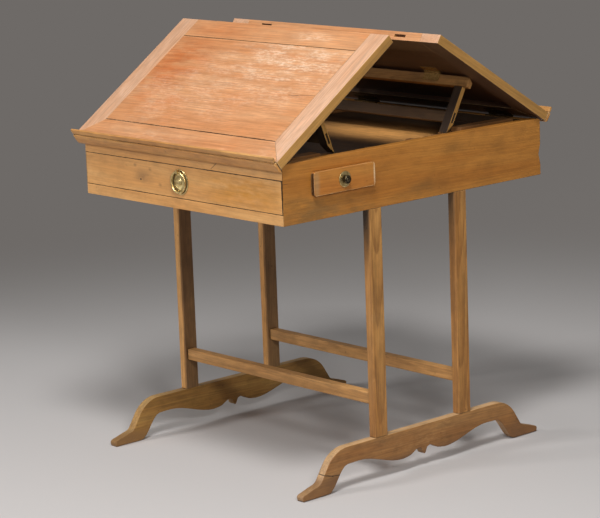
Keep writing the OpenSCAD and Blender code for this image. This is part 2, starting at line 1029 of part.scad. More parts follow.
module tray_back() {
  y = tray_open_w / 2 - tray_gap - 8;
  color("tan")
    in_frame()
      block(half_w - 9 - tray_depth, half_w - 1 - tray_depth, tray_y - y, tray_y + y,
            tray_open_low + tray_gap + 5, tray_open_high - tray_gap - tray_side_drop - 2);
}

module tray_bottom() {
  y = tray_open_w / 2 - tray_gap - 8;
  color("tan")
    in_frame()
      block(half_w - 9 - tray_depth, half_w - 9, tray_y - y, tray_y + y,
            tray_open_low + tray_gap + 1, tray_open_low + tray_gap + 5);
}

module at_knob() {
  in_frame()
    translate([half_w + tray_proud, tray_y, tray_z])
      rotate([0, 90, 0])
        children();
}

module tray_rosette() {
  color("gold")
    at_knob()
      rotate_extrude($fn = round_fn)
        polygon([[5, 0], [rosette_r, 0], [rosette_r, 0.8], [rosette_r - 2, 2], [rosette_r - 4, 1.4],
                 [rosette_r - 7, 2.6], [5, 2.6]]);
}

module tray_knob() {
  spindle = tray_proud + 8;
  color("black")
    at_knob()
      rotate_extrude($fn = round_fn)
        polygon(concat(
          [[0, -spindle], [2.5, -spindle], [2.5, 0], [5, 0], [5, 3.2], [knob_r - 3.5, 4.4]],
          arc(knob_r - 3, knob_h - 4.2, 3, -60, 60, 5),
          [[knob_r - 4.5, knob_h - 2.4], [knob_r - 6, knob_h - 0.6], [knob_r - 8, knob_h], [0, knob_h]]
        ));
}

side_left();
side_right();
back_board();
rail_top();
rail_bottom();
well_boards();
racks();
rack_teeth();
guide_board();
runners();
tray_floor();
leg_front_left();
leg_front_right();
leg_rear_left();
leg_rear_right();
foot_left();
foot_right();
stretcher_front();
stretcher_rear();
hinges_fixed();
box_screws();
front_panel();
front_stile_left();
front_stile_right();
front_ridge_rail();
front_outer_rail();
front_ledge();
front_hinges();
front_prop_hinges();
front_screws();
back_panel();
back_stile_left();
back_stile_right();
back_ridge_rail();
back_outer_rail();
back_ledge();
back_hinges();
back_prop_hinges();
back_screws();
front_prop_rail();
front_prop_arms();
front_prop_low_rail();
front_prop_plates();
back_prop_rail();
back_prop_arms();
back_prop_low_rail();
back_prop_plates();
drawer_front();
drawer_side_left();
drawer_side_right();
drawer_back();
drawer_bottom();
pull_plate();
pull_ring();
tray_front();
tray_sides();
tray_back();
tray_bottom();
tray_rosette();
tray_knob();
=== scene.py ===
# Looks of a pine reading table: dressed boards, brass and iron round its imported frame
import json
import math
import bpy
import bmesh
from mathutils import Matrix, Vector, noise


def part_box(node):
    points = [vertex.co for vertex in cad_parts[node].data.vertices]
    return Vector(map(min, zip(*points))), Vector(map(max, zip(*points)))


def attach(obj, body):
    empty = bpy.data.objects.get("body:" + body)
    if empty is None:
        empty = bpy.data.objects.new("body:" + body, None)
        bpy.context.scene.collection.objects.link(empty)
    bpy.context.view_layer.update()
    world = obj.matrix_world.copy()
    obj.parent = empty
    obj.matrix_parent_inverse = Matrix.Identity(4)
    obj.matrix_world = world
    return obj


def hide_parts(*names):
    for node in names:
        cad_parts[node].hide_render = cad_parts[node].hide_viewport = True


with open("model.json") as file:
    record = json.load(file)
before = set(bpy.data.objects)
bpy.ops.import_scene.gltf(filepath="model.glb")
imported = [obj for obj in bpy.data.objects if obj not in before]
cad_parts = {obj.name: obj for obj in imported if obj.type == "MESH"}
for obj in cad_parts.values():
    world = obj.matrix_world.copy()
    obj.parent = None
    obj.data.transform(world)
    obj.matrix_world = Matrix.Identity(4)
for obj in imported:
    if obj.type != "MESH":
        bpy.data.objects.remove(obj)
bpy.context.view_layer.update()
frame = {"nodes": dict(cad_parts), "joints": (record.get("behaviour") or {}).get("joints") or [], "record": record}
print("frame loaded:", len(frame["nodes"]), "nodes")

mm = 0.001
joints = {joint["name"]: joint for joint in frame["joints"]}
bodyOf = {node: body for body, nodes in frame["record"]["behaviour"]["bodies"].items() for node in nodes}

# The middle of the box, above the floor
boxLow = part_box("side_left")[0]
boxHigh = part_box("side_right")[1]
middle = Vector(((boxLow.x + boxHigh.x) / 2, (boxLow.y + boxHigh.y) / 2, 0))

# Slope of each prop below the level, in degrees
propSlope = {"front": 69.5, "back": 61.1}


def placeOf(kind):
    # Matrix from a piece's own place to the frame: the box, a leaf's hinge line or a prop's
    if kind == "box":
        return Matrix.Translation(middle)
    side, part = kind.split("_")
    turn = Matrix.Rotation(math.pi if side == "back" else 0, 4, "Z")
    if part == "leaf":
        tilt = -joints[side + "_leaf_hinge"]["range_deg"][0]
    else:
        tilt = -propSlope[side]
    hinge = Vector(joints[f"{side}_{part}_hinge"]["pos_m"])
    return Matrix.Translation(hinge) @ turn @ Matrix.Rotation(math.radians(tilt), 4, "X")


def tone(red, green, blue):
    # Screen colour to linear light
    def linear(level):
        level /= 255
        return level / 12.92 if level <= 0.04045 else ((level + 0.055) / 1.055) ** 2.4
    return (linear(red), linear(green), linear(blue), 1)


# Node helpers

def addNode(tree, kind, values=None, **settings):
    node = tree.nodes.new(kind)
    for name, value in settings.items():
        setattr(node, name, value)
    for name, value in (values or {}).items():
        if isinstance(value, bpy.types.NodeSocket):
            tree.links.new(value, node.inputs[name])
        else:
            node.inputs[name].default_value = value
    return node


def sums(tree, operation, *values, clamp=False):
    values = dict(enumerate(values))
    return addNode(tree, "ShaderNodeMath", values, operation=operation, use_clamp=clamp).outputs[0]


def vectors(tree, operation, *values):
    node = addNode(tree, "ShaderNodeVectorMath", dict(enumerate(values)), operation=operation)
    single = operation in ("LENGTH", "DISTANCE", "DOT_PRODUCT")
    return node.outputs["Value" if single else "Vector"]


def spread(tree, value, low, high, toLow=0.0, toHigh=1.0):
    values = {"Value": value, "From Min": low, "From Max": high, "To Min": toLow, "To Max": toHigh}
    return addNode(tree, "ShaderNodeMapRange", values, interpolation_type="SMOOTHSTEP").outputs[0]


def mixed(tree, factor, first, second, way="MIX"):
    node = addNode(tree, "ShaderNodeMix", {0: factor, 6: first, 7: second}, data_type="RGBA", blend_type=way)
    return node.outputs[2]


def mottle(tree, vector, scale, detail=3.0, roughness=0.55):
    values = {"Vector": vector, "Scale": scale, "Detail": detail, "Roughness": roughness}
    return addNode(tree, "ShaderNodeTexNoise", values).outputs["Fac"]


def scaled(tree, vector, factors):
    return addNode(tree, "ShaderNodeMapping", {"Vector": vector, "Scale": factors}).outputs[0]


def placed(tree, matrix):
    # Object coordinates as seen from a place: its origin and axes
    where = addNode(tree, "ShaderNodeTexCoord").outputs["Object"]
    values = {"Vector": where, "Location": matrix.translation, "Rotation": matrix.to_euler()}
    return addNode(tree, "ShaderNodeMapping", values, vector_type="TEXTURE").outputs[0]


def spot(tree, vector, at, size):
    # 1 at a place, falling to 0 at the size's edge
    nearer = vectors(tree, "SUBTRACT", vector, [a * mm for a in at])
    reach = vectors(tree, "LENGTH", vectors(tree, "DIVIDE", nearer, [s * mm for s in size]))
    return spread(tree, reach, 1.0, 0.0)


def worn(tree, radius, low, high):
    # 1 on a piece's arrises, found by rounding the normal
    rounded = addNode(tree, "ShaderNodeBevel", {"Radius": radius * mm}, samples=4).outputs[0]
    plain = addNode(tree, "ShaderNodeNewGeometry").outputs["Normal"]
    return spread(tree, vectors(tree, "DOT_PRODUCT", rounded, plain), high, low)


def facing(tree, place, toward):
    # 1 on faces that look along one of a place's axes, such as "+z"
    axis = place.to_3x3().col["xyz".index(toward[1])] * (1 if toward[0] == "+" else -1)
    normal = addNode(tree, "ShaderNodeTexCoord").outputs["Normal"]
    return spread(tree, vectors(tree, "DOT_PRODUCT", normal, axis), 0.55, 0.8)


def lineNear(tree, vector, ends, width, wobble):
    # 1 on a straight mark between two places, as fine as its width
    first, last = (Vector(end) * mm for end in ends)
    run = last - first
    away = vectors(tree, "SUBTRACT", vector, first)
    share = sums(tree, "DIVIDE", vectors(tree, "DOT_PRODUCT", away, run), run.length_squared, clamp=True)
    foot = vectors(tree, "SCALE", run)
    tree.links.new(share, foot.node.inputs["Scale"])
    reach = vectors(tree, "LENGTH", vectors(tree, "SUBTRACT", away, foot))
    reach = sums(tree, "MULTIPLY_ADD", wobble, width * mm, reach)
    return spread(tree, reach, width * mm * 1.4, width * mm * 0.6)


# Pine: rings round a pith line that lies outside each board, the wear of two centuries, and on some faces painted
# light and shade
pineLooks = {
    "leaf": dict(slot="leaf_pine", pale=(219, 160, 112), deep=(208, 141, 90), late=(190, 118, 70),
                 stain=(212, 130, 72), dry=(240, 204, 172), arris=(238, 204, 158), grime=(78, 46, 24),
                 ring=2.6, lines=0.14, streaks=0.26, stained=0.45, dried=0.4, rough=0.42, cloudy=0.1, dents=0.12,
                 sides=(("+x", (198, 146, 68), 0.9), ("-x", (198, 146, 68), 0.9), ("-y", (190, 140, 66), 0.9),
                        # '-z': undersides darker, partly darker pine and partly painted shade
                        ("-z", (104, 72, 48), 0.95))),
    "stile": dict(slot="leaf_pine", pale=(224, 180, 148), deep=(214, 162, 124), late=(194, 136, 96),
                  stain=(214, 148, 100), dry=(240, 212, 188), arris=(244, 214, 176), grime=(98, 60, 34),
                  ring=2.4, lines=0.16, streaks=0.26, stained=0.3, dried=0.4, rough=0.44, cloudy=0.1, dents=0.12,
                  sides=(("+x", (198, 146, 68), 0.9), ("-x", (198, 146, 68), 0.9),
                         # '-z': undersides darker, partly darker pine and partly painted shade
                         ("-z", (104, 72, 48), 0.95))),
    "ledge": dict(slot="ledge_pine", pale=(218, 162, 94), deep=(204, 142, 76), late=(172, 116, 58),
                  stain=(170, 112, 54), dry=(230, 188, 128), arris=(240, 204, 142), grime=(84, 56, 30),
                  ring=2.2, lines=0.2, streaks=0.2, stained=0.35, dried=0.25, rough=0.4, sides=()),
    "front": dict(slot="front_pine", pale=(224, 170, 106), deep=(212, 152, 86), late=(188, 128, 66),
                  stain=(196, 142, 78), dry=(228, 182, 126), arris=(232, 184, 122), grime=(52, 32, 16),
                  ring=2.8, lines=0.14, streaks=0.16, stained=0.4, dried=0.2, rough=0.42, cloudy=0.14, dents=0.2,
                  # '+y': the back faces, inside the box, darker: painted shade
                  sides=(("+y", (120, 84, 52), 0.9),)),
    "box": dict(slot="box_pine", pale=(198, 134, 58), deep=(184, 118, 46), late=(160, 98, 38),
                stain=(146, 94, 40), dry=(204, 142, 72), arris=(222, 168, 98), grime=(66, 42, 22),
                ring=2.8, lines=0.14, streaks=0.18, stained=0.4, dried=0.2, rough=0.4, cloudy=0.12, dents=0.25,
                sides=()),
    "base": dict(slot="base_pine", pale=(206, 150, 82), deep=(182, 124, 60), late=(142, 92, 42),
                 stain=(142, 96, 48), dry=(214, 166, 108), arris=(228, 184, 126), grime=(74, 50, 28),
                 ring=3.4, lines=0.5, streaks=0.3, stained=0.4, dried=0.3, rough=0.52,
                 # '-y': front faces darker: painted shade under the box
                 sides=(("-y", (160, 110, 60), 0.35),)),
    "inner": dict(slot="inner_pine", pale=(190, 134, 76), deep=(164, 108, 56), late=(118, 76, 40),
                  stain=(84, 56, 32), dry=(196, 146, 94), arris=(200, 150, 98), grime=(40, 28, 18),
                  ring=2.8, lines=0.3, streaks=0.3, stained=0.7, dried=0.2, rough=0.6, sides=()),
    "prop": dict(slot="prop_pine", pale=(112, 80, 48), deep=(94, 64, 38), late=(76, 50, 28),
                 stain=(60, 40, 26), dry=(130, 96, 60), arris=(150, 110, 66), grime=(36, 26, 18),
                 ring=2.4, lines=0.3, streaks=0.3, stained=0.5, dried=0.2, rough=0.55, sides=()),
}
# How far dirt and painted corner shade, wear and hand work go, in mm, and the grain's lean in degrees
wear = dict(cornerReach=7, arrisReach=2.2, crack=(30, 20, 12), nail=(44, 32, 24), coat=0.08, coatRough=0.3,
            relief=0.4, lean=1.2, sway=0.6)
handMade = dict(arris=0.9, uneven=0.22, patch=70, along=16, across=12, rim=4, metalArris=0.15)
grainTurns = {
    "x": Matrix.Identity(4),
    "y": Matrix.Rotation(math.pi / 2, 4, "Z"),
    "z": Matrix.Rotation(-math.pi / 2, 4, "Y"),
}


def grainPlace(name, board):
    # Where the board's pith line runs, with the grain along its X
    place = placeOf(board["place"])
    low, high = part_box(name)
    centre = place.inverted() @ ((low + high) / 2)
    across, deep = board["pith"]
    offset = Matrix.Translation(Vector((board.get("along", 0), across, deep)) * mm)
    lean = Matrix.Rotation(math.radians(wear["lean"]), 4, "Y")
    sway = Matrix.Rotation(math.radians(wear["sway"]), 4, "Z")
    return place @ Matrix.Translation(centre) @ grainTurns[board["grain"]] @ offset @ lean @ sway


def pineMaterial(name, board):
    look = {**pineLooks[board["look"]], **board.get("change", {})}
    material = bpy.data.materials.new(name + "Pine")
    material.use_nodes = True
    tree = material.node_tree
    tree.nodes.clear()
    place = placeOf(board["place"])
    inGrain = placed(tree, grainPlace(name, board))
    inPlace = placed(tree, place)

    # Slow bends of the grain, and its swerve round knots
    bends = addNode(tree, "ShaderNodeTexNoise", {"Vector": scaled(tree, inGrain, (1.6, 6, 6)), "Scale": 1.0,
                                                 "Detail": 2.0}).outputs["Color"]
    bends = vectors(tree, "MULTIPLY_ADD", bends, (0, 0.016, 0.016), (0, -0.008, -0.008))
    inGrain = vectors(tree, "ADD", inGrain, bends)
    knots = [spot(tree, inPlace, knot["at"], knot["size"]) for knot in board.get("knots", [])]
    swerve = 0.0
    for near in knots:
        swerve = sums(tree, "MULTIPLY_ADD", near, 9.0, swerve)
    waves = {"Vector": scaled(tree, inGrain, (0.05, 1, 1)), "Scale": math.pi / 10 / (look["ring"] * mm),
             "Distortion": 2.2, "Detail": 2.0, "Detail Scale": 0.22, "Detail Roughness": 0.5,
             "Phase Offset": swerve}
    rings = addNode(tree, "ShaderNodeTexWave", waves, wave_type="RINGS", rings_direction="X",
                    wave_profile="SAW").outputs["Fac"]
    late = sums(tree, "MULTIPLY", spread(tree, rings, 0.25, 0.9), spread(tree, rings, 1.0, 0.94))

    fibres = mottle(tree, scaled(tree, inGrain, (7, 330, 330)), 1.0, 3.0, 0.6)
    bands = mottle(tree, scaled(tree, inGrain, (1.8, 26, 26)), 1.0, 3.0, 0.5)
    clouds = mottle(tree, scaled(tree, inPlace, (5, 5, 5)), 1.0, 4.0, 0.6)
    stains = mottle(tree, scaled(tree, inPlace, (9, 7, 8)), 1.0, 5.0, 0.62)
    smears = mottle(tree, scaled(tree, inGrain, (14, 42, 42)), 1.0, 5.0, 0.62)
    scuffs = mottle(tree, scaled(tree, inPlace, (260, 260, 260)), 1.0, 2.0, 0.6)
    wobble = sums(tree, "SUBTRACT", mottle(tree, inPlace, 120.0, 3.0, 0.6), 0.5)

    colour = mixed(tree, spread(tree, bands, 0.32, 0.68), tone(*look["deep"]), tone(*look["pale"]))
    colour = mixed(tree, sums(tree, "MULTIPLY", late, look["lines"]), colour, tone(*look["late"]))
    stained = sums(tree, "MULTIPLY", spread(tree, stains, 0.5, 0.78), look["stained"])
    stained = sums(tree, "MULTIPLY_ADD", spread(tree, smears, 0.54, 0.75), look["stained"] * 0.6, stained,
                   clamp=True)
    colour = mixed(tree, stained, colour, tone(*look["stain"]))
    dried = sums(tree, "MULTIPLY", spread(tree, clouds, 0.5, 0.75), look["dried"])
    for patch in board.get("patches", []):
        near = spot(tree, inPlace, patch["at"], patch["size"])
        ragged = sums(tree, "MULTIPLY", near, spread(tree, smears, 0.3, 0.62))
        if patch["to"] == "dry":
            dried = sums(tree, "MULTIPLY_ADD", ragged, patch["much"], dried, clamp=True)
        else:
            ragged = sums(tree, "MULTIPLY", ragged, patch["much"])
            colour = mixed(tree, ragged, colour, tone(*patch["to"]))
    flecks = mottle(tree, scaled(tree, inGrain, (70, 240, 240)), 1.0, 3.0, 0.7)
    dried = sums(tree, "MULTIPLY", dried, spread(tree, flecks, 0.4, 0.62, 0.2, 1.25), clamp=True)
    dried = sums(tree, "MULTIPLY", dried, spread(tree, smears, 0.3, 0.6, 0.6, 1.0))
    colour = mixed(tree, dried, colour, tone(*look["dry"]))
    # Tints by the way a face looks: on undersides, inner faces, leg fronts and feet, prop arms and the side
    # drawer's end they are painted shade and painted light
    for toward, tint, much in look["sides"]:
        tinted = mixed(tree, spread(tree, bands, 0.3, 0.7), tone(*(0.88 * a for a in tint)), tone(*tint))
        tinted = mixed(tree, sums(tree, "MULTIPLY", stained, 0.6), tinted, tone(*(0.75 * a for a in tint)))
        colour = mixed(tree, sums(tree, "MULTIPLY", facing(tree, place, toward), much), colour, tinted)
    # Painted light and shade: a painted pool of light, painted shadows and painted highlights, laid on faces that
    # look one way
    for patch in board.get("paintedLightAndShade", []):
        near = sums(tree, "MULTIPLY", spot(tree, inPlace, patch["at"], patch["size"]), patch["much"])
        near = sums(tree, "MULTIPLY", near, facing(tree, place, patch.get("face", "-z")))
        colour = mixed(tree, near, colour, tone(*patch["to"]))
    grey = mottle(tree, scaled(tree, inGrain, (24, 60, 60)), 1.0, 4.0, 0.65)
    grey = spread(tree, grey, 0.32, 0.6, 1 - look.get("cloudy", 0.2), 1.0)
    shade = spread(tree, fibres, 0.3, 0.7, 1 - look["streaks"], 1.0)
    colour = mixed(tree, 1.0, colour, sums(tree, "MULTIPLY", shade, grey), "MULTIPLY")
    for near in knots:
        colour = mixed(tree, spread(tree, near, 0.25, 0.7, 0.0, 0.35), colour, tone(*look["stain"]))
        colour = mixed(tree, spread(tree, near, 0.78, 0.9, 0.0, 0.85), colour, tone(*look["grime"]))

    # Dirt and painted shade in inner angles and where parts meet, rubbed arrises, dents, and dirt that has settled
    # low on the feet
    dirtAndShadeReach = {"Distance": wear["cornerReach"] * mm}
    cornerDirtAndShade = addNode(tree, "ShaderNodeAmbientOcclusion", dirtAndShadeReach, samples=6).outputs["AO"]
    cornerDirtAndShade = sums(tree, "MULTIPLY", spread(tree, cornerDirtAndShade, 0.72, 0.35), 0.75)
    colour = mixed(tree, cornerDirtAndShade, colour, tone(*look["grime"]))
    arris = worn(tree, wear["arrisReach"], 0.6, 0.97)
    arris = sums(tree, "MULTIPLY", arris, spread(tree, stains, 0.35, 0.6, 0.25, 0.85))
    colour = mixed(tree, arris, colour, tone(*look["arris"]))
    dents = mottle(tree, scaled(tree, inPlace, (70, 70, 70)), 1.0, 2.0, 0.5)
    dents = spread(tree, dents, 0.70, 0.78)
    colour = mixed(tree, sums(tree, "MULTIPLY", dents, look.get("dents", 0.4)), colour, tone(*look["grime"]))
    for low, tint in board.get("settled", []):
        height = addNode(tree, "ShaderNodeSeparateXYZ", {0: inPlace}).outputs[2]
        near = spread(tree, height, low * mm, low * mm * 0.6)
        near = sums(tree, "MULTIPLY", near, spread(tree, stains, 0.3, 0.65, 0.25, 0.9))
        colour = mixed(tree, near, colour, tone(*tint))

    # Dirt beside the gaps between boards (on the ledges a painted shade in the moulding's groove), cracks, joints
    # and nails
    depth = 0.0
    axes = addNode(tree, "ShaderNodeSeparateXYZ", {0: inPlace}).outputs
    for axis, at, width, much in board.get("rims", []):
        away = sums(tree, "ABSOLUTE", sums(tree, "SUBTRACT", axes["xyz".index(axis)], at * mm))
        away = sums(tree, "MULTIPLY_ADD", wobble, -1.6 * width * mm, away)
        away = sums(tree, "MULTIPLY_ADD", spread(tree, clouds, 0.35, 0.6), 0.5 * width * mm, away)
        near = spread(tree, away, width * mm, width * mm * 0.35, 0.0, much)
        near = sums(tree, "MULTIPLY", near, spread(tree, smears, 0.3, 0.55, 0.45, 1.0))
        colour = mixed(tree, near, colour, tone(*look["grime"]))
    for first, last, width in board.get("cracks", []):
        near = lineNear(tree, inPlace, (first, last), width, wobble)
        colour = mixed(tree, sums(tree, "MULTIPLY", near, 0.85), colour, tone(*wear["crack"]))
        depth = sums(tree, "ADD", depth, near)
    # Light lines in the arris tone; those on the ledges and the well boards are painted highlights
    for first, last, width in board.get("scratches", []):
        near = lineNear(tree, inPlace, (first, last), width, wobble)
        colour = mixed(tree, sums(tree, "MULTIPLY", near, 0.8), colour, tone(*look["arris"]))
    for at, size in board.get("nails", []):
        near = spot(tree, inPlace, at, (size * 1.3,) * 3)
        colour = mixed(tree, spread(tree, near, 0.1, 0.5, 0.0, 0.8), colour, tone(*wear["nail"]))

    gloss = sums(tree, "MULTIPLY_ADD", dried, 0.25, look["rough"])
    gloss = sums(tree, "MULTIPLY_ADD", fibres, 0.12, gloss)
    relief = sums(tree, "MULTIPLY_ADD", late, 0.35, sums(tree, "MULTIPLY", fibres, 0.5))
    relief = sums(tree, "SUBTRACT", relief, sums(tree, "MULTIPLY", dents, 1.2))
    relief = sums(tree, "SUBTRACT", relief, sums(tree, "MULTIPLY", depth, 2.0))
    relief = sums(tree, "MULTIPLY_ADD", scuffs, 0.25, relief)
    bump = addNode(tree, "ShaderNodeBump", {"Height": relief, "Distance": wear["relief"] * mm,
                                            "Strength": 0.55})
    shader = addNode(tree, "ShaderNodeBsdfPrincipled", {
        "Base Color": colour, "Roughness": gloss, "Normal": bump.outputs[0], "Specular IOR Level": 0.4,
        "Coat Weight": wear["coat"], "Coat Roughness": wear["coatRough"]})
    addNode(tree, "ShaderNodeOutputMaterial", {"Surface": shader.outputs[0]})
    return material


# Metals
metalLooks = {
    "brass": dict(slot="brass", bright=(244, 220, 158), dull=(176, 146, 88), grime=(44, 32, 16), rough=0.26),
    "hingeBrass": dict(slot="hinge_brass", bright=(104, 82, 50), dull=(64, 50, 32), grime=(34, 26, 18),
                       rough=0.5),
    "propBrass": dict(slot="hinge_brass", bright=(186, 150, 92), dull=(150, 116, 66), grime=(84, 62, 36),
                      rough=0.55),
    "iron": dict(slot="screw_iron", bright=(120, 112, 104), dull=(82, 74, 66), grime=(58, 40, 28), rough=0.5),
    "bronze": dict(slot="knob_bronze", bright=(96, 86, 66), dull=(54, 46, 34), grime=(22, 18, 14), rough=0.3),
}
metalMaterials = {}


def metalMaterial(kind):
    if kind in metalMaterials:
        return metalMaterials[kind]
    look = metalLooks[kind]
    material = bpy.data.materials.new(kind)
    material.use_nodes = True
    tree = material.node_tree
    tree.nodes.clear()
    where = placed(tree, Matrix.Identity(4))
    tarnish = mottle(tree, where, 180.0, 4.0, 0.65)
    scratches = mottle(tree, scaled(tree, where, (60, 900, 1400)), 1.0, 2.0, 0.5)
    colour = mixed(tree, spread(tree, tarnish, 0.38, 0.68), tone(*look["bright"]), tone(*look["dull"]))
    openness = addNode(tree, "ShaderNodeAmbientOcclusion", {"Distance": 4 * mm}, samples=8)
    hollow = spread(tree, openness.outputs["AO"], 0.8, 0.35)
    colour = mixed(tree, hollow, colour, tone(*look["grime"]))
    colour = mixed(tree, sums(tree, "MULTIPLY", worn(tree, 0.5, 0.6, 0.97), 0.5), colour, tone(*look["bright"]))
    gloss = sums(tree, "MULTIPLY_ADD", tarnish, 0.3, look["rough"] - 0.1)
    gloss = sums(tree, "MULTIPLY_ADD", hollow, 0.3, gloss)
    relief = sums(tree, "MULTIPLY_ADD", scratches, 0.4, tarnish)
    bump = addNode(tree, "ShaderNodeBump", {"Height": relief, "Distance": 0.00008, "Strength": 0.4})
    shader = addNode(tree, "ShaderNodeBsdfPrincipled", {
        "Base Color": colour, "Roughness": gloss, "Normal": bump.outputs[0], "Metallic": 1.0})
    addNode(tree, "ShaderNodeOutputMaterial", {"Surface": shader.outputs[0]})
    metalMaterials[kind] = material
    return material


# Boards

def mergedCopy(name):
    # A bmesh of a CAD node, its loose triangles joined into flat faces
    mesh = bmesh.new()
    mesh.from_mesh(frame["nodes"][name].data)
    bmesh.ops.remove_doubles(mesh, verts=mesh.verts, dist=0.00002)
    bmesh.ops.dissolve_limit(mesh, angle_limit=math.radians(0.6), verts=mesh.verts, edges=mesh.edges)
    return mesh


def easeArrises(mesh, width, least=40, segments=2, longer=0):
    def outer(edge):
        return (len(edge.link_faces) == 2 and edge.is_convex and edge.calc_face_angle() > math.radians(least)
                and edge.calc_length() > longer * mm)
    bmesh.ops.bevel(mesh, geom=[edge for edge in mesh.edges if outer(edge)], offset=width * mm,
                    affect="EDGES", segments=segments, profile=0.5, material=-1, clamp_overlap=True)


def slices(mesh, axis, step, rim):
    # Cuts across one axis, evenly and close to both ends
    values = [vert.co[axis] for vert in mesh.verts]
    low, high = min(values), max(values)
    count = max(1, round((high - low) / (step * mm)))
    cuts = [low + (high - low) * i / count for i in range(1, count)]
    if rim:
        cuts += [low + rim * mm, high - rim * mm]
    normal = Vector((axis == 0, axis == 1, axis == 2))
    for cut in cuts:
        everything = mesh.verts[:] + mesh.edges[:] + mesh.faces[:]
        bmesh.ops.bisect_plane(mesh, geom=everything, dist=0.00001, plane_co=normal * cut, plane_no=normal)


def handWork(mesh, amount, size, seed):
    # The surface sinks here and there, as a plane and long use leave it
    mesh.normal_update()
    shift = Vector((seed * 3.1, seed * 1.7, seed * 0.9))
    moves = []
    for vert in mesh.verts:
        level = 0.5 + 0.5 * noise.noise(vert.co / (size * mm) + shift)
        nick = max(0.0, noise.noise(vert.co / (9 * mm) - shift) - 0.42)
        moves.append((vert, -vert.normal * (level * amount + nick * amount * 2) * mm))
    for vert, move in moves:
        vert.co += move


def knockIn(mesh, gouges):
    # Knocks at single places, each with its reach and its push
    for gouge in gouges:
        for vert in mesh.verts:
            away = vert.co / mm - Vector(gouge["at"])
            near = 1 - sum((a / s) ** 2 for a, s in zip(away, gouge["size"]))
            if near > 0:
                vert.co += Vector(gouge["push"]) * mm * near ** 1.5


def finishPiece(name, mesh, material, body, nodes, smoothUnder=50):
    mesh.normal_update()
    data = bpy.data.meshes.new(name)
    mesh.to_mesh(data)
    mesh.free()
    data.materials.append(material)
    data.shade_smooth()
    data.set_sharp_from_angle(angle=math.radians(smoothUnder))
    piece = bpy.data.objects.new(name, data)
    bpy.context.scene.collection.objects.link(piece)
    weighted = piece.modifiers.new("evenShading", "WEIGHTED_NORMAL")
    weighted.keep_sharp = True
    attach(piece, body)
    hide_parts(*nodes)


